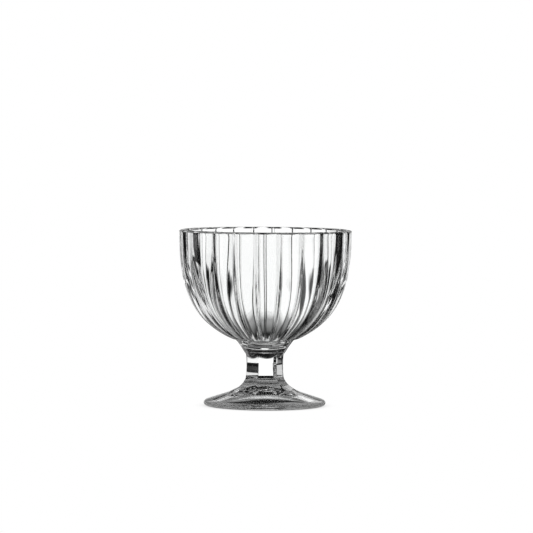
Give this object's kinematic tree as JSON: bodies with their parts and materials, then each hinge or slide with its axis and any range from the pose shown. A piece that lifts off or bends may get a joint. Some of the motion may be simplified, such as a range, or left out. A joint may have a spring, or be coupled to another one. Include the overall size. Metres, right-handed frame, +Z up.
{
  "type": "ice cream cup",
  "caption": "Clear pressed-glass ice cream cup: a deep fluted bowl on a short hexagonal stem and a hollow conical foot, for serving ice cream and desserts.",
  "frame": {"origin": "centre of the ring that the foot rests on, at table level", "axes": "+Z up along the cup's axis; the middle of one flat of the stem faces -Y"},
  "size_m": [0.0956, 0.0956, 0.0979],
  "materials": {
    "clear_glass": "fire-polished clear pressed glass"
  },
  "bodies": {
    "root": {"fluted_bowl": "clear_glass", "hexagonal_stem": "clear_glass", "round_foot": "clear_glass"}
  },
  "joints": []
}
